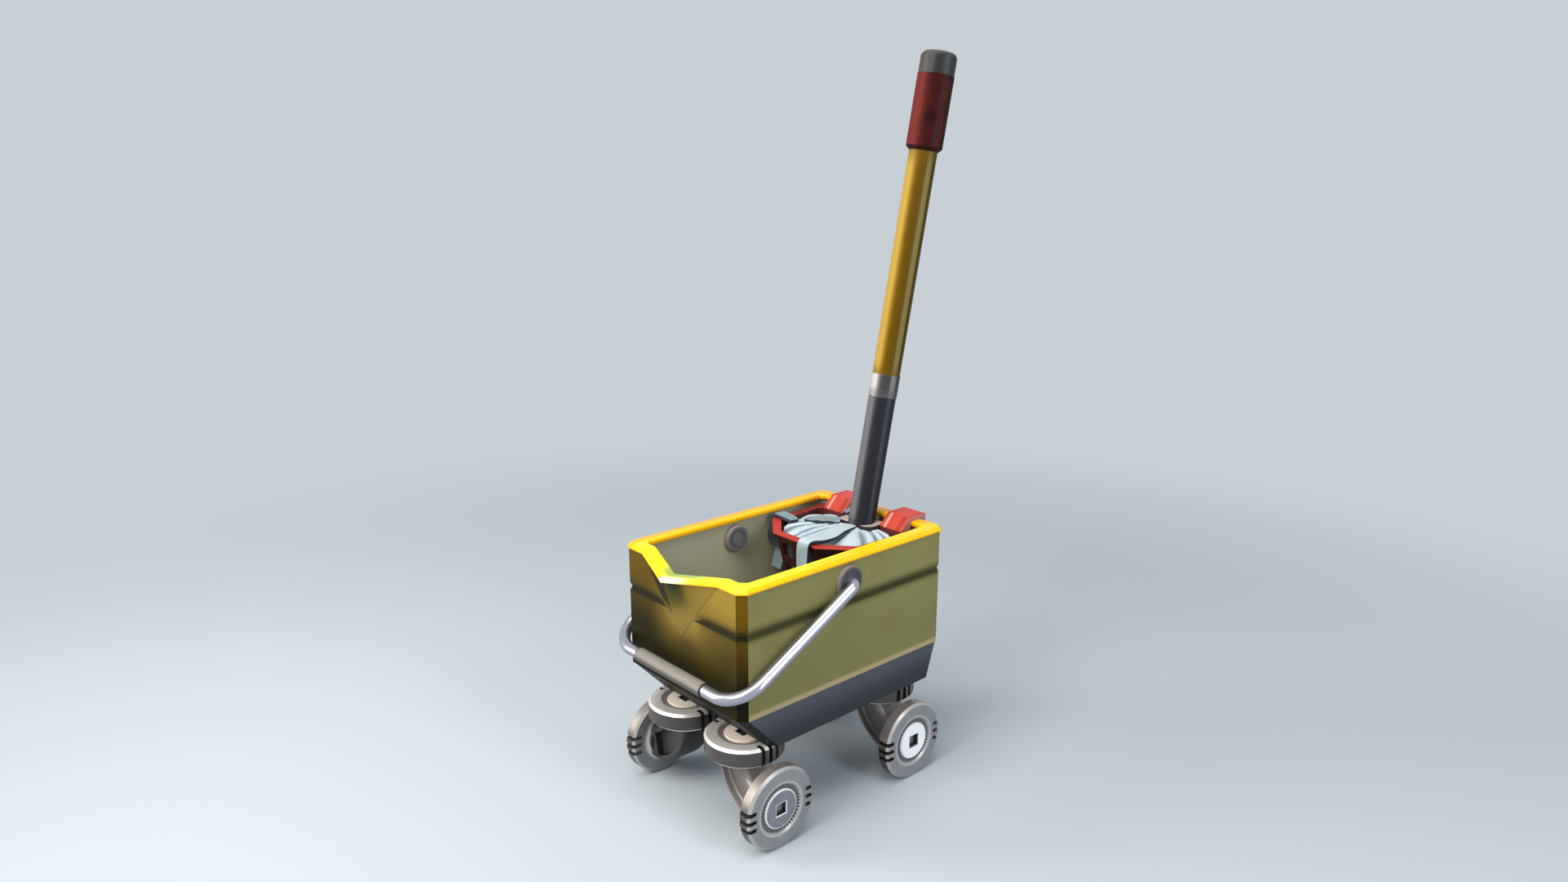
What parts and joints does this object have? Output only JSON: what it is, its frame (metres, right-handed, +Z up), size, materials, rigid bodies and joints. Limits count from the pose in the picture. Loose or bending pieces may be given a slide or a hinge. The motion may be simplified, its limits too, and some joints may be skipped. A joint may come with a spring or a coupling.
{
  "type": "mop bucket",
  "caption": "Castor-mounted rectangular mop bucket with a pouring lip, swinging bail handle, lift-out wringer basket hooked on the back rim and a mop standing in it.",
  "frame": {"origin": "on the floor, under the middle of the whole outline", "axes": "+Z up, -Y towards the pouring lip, +Y towards the wringer and the mop, X across the bucket"},
  "size_m": [0.3106, 0.4934, 1.0596],
  "materials": {
    "tub_yellow": "satin moulded yellow plastic",
    "rim_yellow": "bright yellow plastic edging",
    "tray_slate": "dark slate plastic",
    "pivot_slate": "dark slate plastic",
    "bail_chrome": "bright chromed steel rod",
    "grip_grey": "warm grey plastic sleeve",
    "castor_grey": "warm grey castor plastic with a slight sheen",
    "arm_slate": "dark grey reinforced nylon castor arm",
    "cap_cream": "cream plastic cap",
    "pin_steel": "plain steel",
    "wringer_red": "red plastic",
    "hook_red": "orange-red plastic",
    "flange_brown": "dark warm grey plastic",
    "pole_grey": "dark grey plastic",
    "ferrule_metal": "light metal",
    "pole_yellow": "golden yellow painted tube",
    "grip_red": "dark red grip",
    "yarn_white": "pale blue-white yarn",
    "strip_blue": "blue-grey cloth strips"
  },
  "bodies": {
    "tub": {"tub_shell": "tub_yellow", "rim_trim": "rim_yellow", "base_pan": "tray_slate", "base_screws": "pin_steel", "castor_screws": "pin_steel", "thrust_washers": "pin_steel", "pivot_bush_right": "pivot_slate", "pivot_bush_left": "pivot_slate", "pivot_cap_right": "pivot_slate", "pivot_cap_left": "pivot_slate", "swivel_disc_front_right": "castor_grey", "swivel_disc_front_left": "castor_grey", "swivel_disc_back_right": "castor_grey", "swivel_disc_back_left": "castor_grey", "disc_cap_front_right": "cap_cream", "disc_cap_front_left": "cap_cream", "disc_cap_back_right": "cap_cream", "disc_cap_back_left": "cap_cream", "kingpin_front_right": "pin_steel", "kingpin_front_left": "pin_steel", "kingpin_back_right": "pin_steel", "kingpin_back_left": "pin_steel"},
    "bail": {"bail_rod": "bail_chrome"},
    "grip": {"bail_grip": "grip_grey"},
    "swivel_front_right": {"swivel_arm_front_right": "arm_slate", "axle_front_right": "pin_steel"},
    "wheel_front_right": {"wheel_front_right": "castor_grey", "wheel_bush_front_right": "pin_steel", "wheel_cap_front_right": "cap_cream"},
    "swivel_front_left": {"swivel_arm_front_left": "arm_slate", "axle_front_left": "pin_steel"},
    "wheel_front_left": {"wheel_front_left": "castor_grey", "wheel_bush_front_left": "pin_steel", "wheel_cap_front_left": "cap_cream"},
    "swivel_back_right": {"swivel_arm_back_right": "arm_slate", "axle_back_right": "pin_steel"},
    "wheel_back_right": {"wheel_back_right": "castor_grey", "wheel_bush_back_right": "pin_steel", "wheel_cap_back_right": "cap_cream"},
    "swivel_back_left": {"swivel_arm_back_left": "arm_slate", "axle_back_left": "pin_steel"},
    "wheel_back_left": {"wheel_back_left": "castor_grey", "wheel_bush_back_left": "pin_steel", "wheel_cap_back_left": "cap_cream"},
    "wringer": {"wringer_ring": "wringer_red", "wringer_cage": "wringer_red", "wringer_floor": "wringer_red", "hook_right": "hook_red", "hook_left": "hook_red", "hook_screws": "pin_steel"},
    "mop": {"mop_flange": "flange_brown", "lower_tube": "pole_grey", "ferrule": "ferrule_metal", "upper_tube": "pole_yellow", "hand_grip": "grip_red", "end_cap": "pole_grey", "yarn_head": "yarn_white", "mop_strips": "strip_blue"}
  },
  "joints": [
    {"name": "bail_swing", "type": "hinge", "parent": "tub", "child": "bail", "pos_m": [0, -0.02671, 0.3475], "axis": [-1, 0, 0], "range_deg": [-1, 117]},
    {"name": "grip_spin", "type": "hinge", "parent": "bail", "child": "grip", "pos_m": [0, -0.2338, 0.23224], "axis": [1, 0, 0], "continuous": true},
    {"name": "swivel_front_right", "type": "hinge", "parent": "tub", "child": "swivel_front_right", "pos_m": [0.066, -0.16021, 0.1156], "axis": [0, 0, 1], "range_deg": [-90, 90]},
    {"name": "spin_front_right", "type": "hinge", "parent": "swivel_front_right", "child": "wheel_front_right", "pos_m": [0.1329, -0.16021, 0.059], "axis": [1, 0, 0], "continuous": true},
    {"name": "swivel_front_left", "type": "hinge", "parent": "tub", "child": "swivel_front_left", "pos_m": [-0.066, -0.16021, 0.1156], "axis": [0, 0, 1], "range_deg": [-90, 90]},
    {"name": "spin_front_left", "type": "hinge", "parent": "swivel_front_left", "child": "wheel_front_left", "pos_m": [-0.1329, -0.16021, 0.059], "axis": [1, 0, 0], "continuous": true},
    {"name": "swivel_back_right", "type": "hinge", "parent": "tub", "child": "swivel_back_right", "pos_m": [0.066, 0.10779, 0.1156], "axis": [0, 0, 1], "range_deg": [-90, 90]},
    {"name": "spin_back_right", "type": "hinge", "parent": "swivel_back_right", "child": "wheel_back_right", "pos_m": [0.1329, 0.10779, 0.059], "axis": [1, 0, 0], "continuous": true},
    {"name": "swivel_back_left", "type": "hinge", "parent": "tub", "child": "swivel_back_left", "pos_m": [-0.066, 0.10779, 0.1156], "axis": [0, 0, 1], "range_deg": [-90, 90]},
    {"name": "spin_back_left", "type": "hinge", "parent": "swivel_back_left", "child": "wheel_back_left", "pos_m": [-0.1329, 0.10779, 0.059], "axis": [1, 0, 0], "continuous": true},
    {"name": "wringer_lift", "type": "slide", "parent": "tub", "child": "wringer", "axis": [0, 0, 1], "range_m": [0, 0.25]},
    {"name": "mop_lift", "type": "slide", "parent": "wringer", "child": "mop", "axis": [0, 0, 1], "range_m": [0, 0.35]}
  ]
}
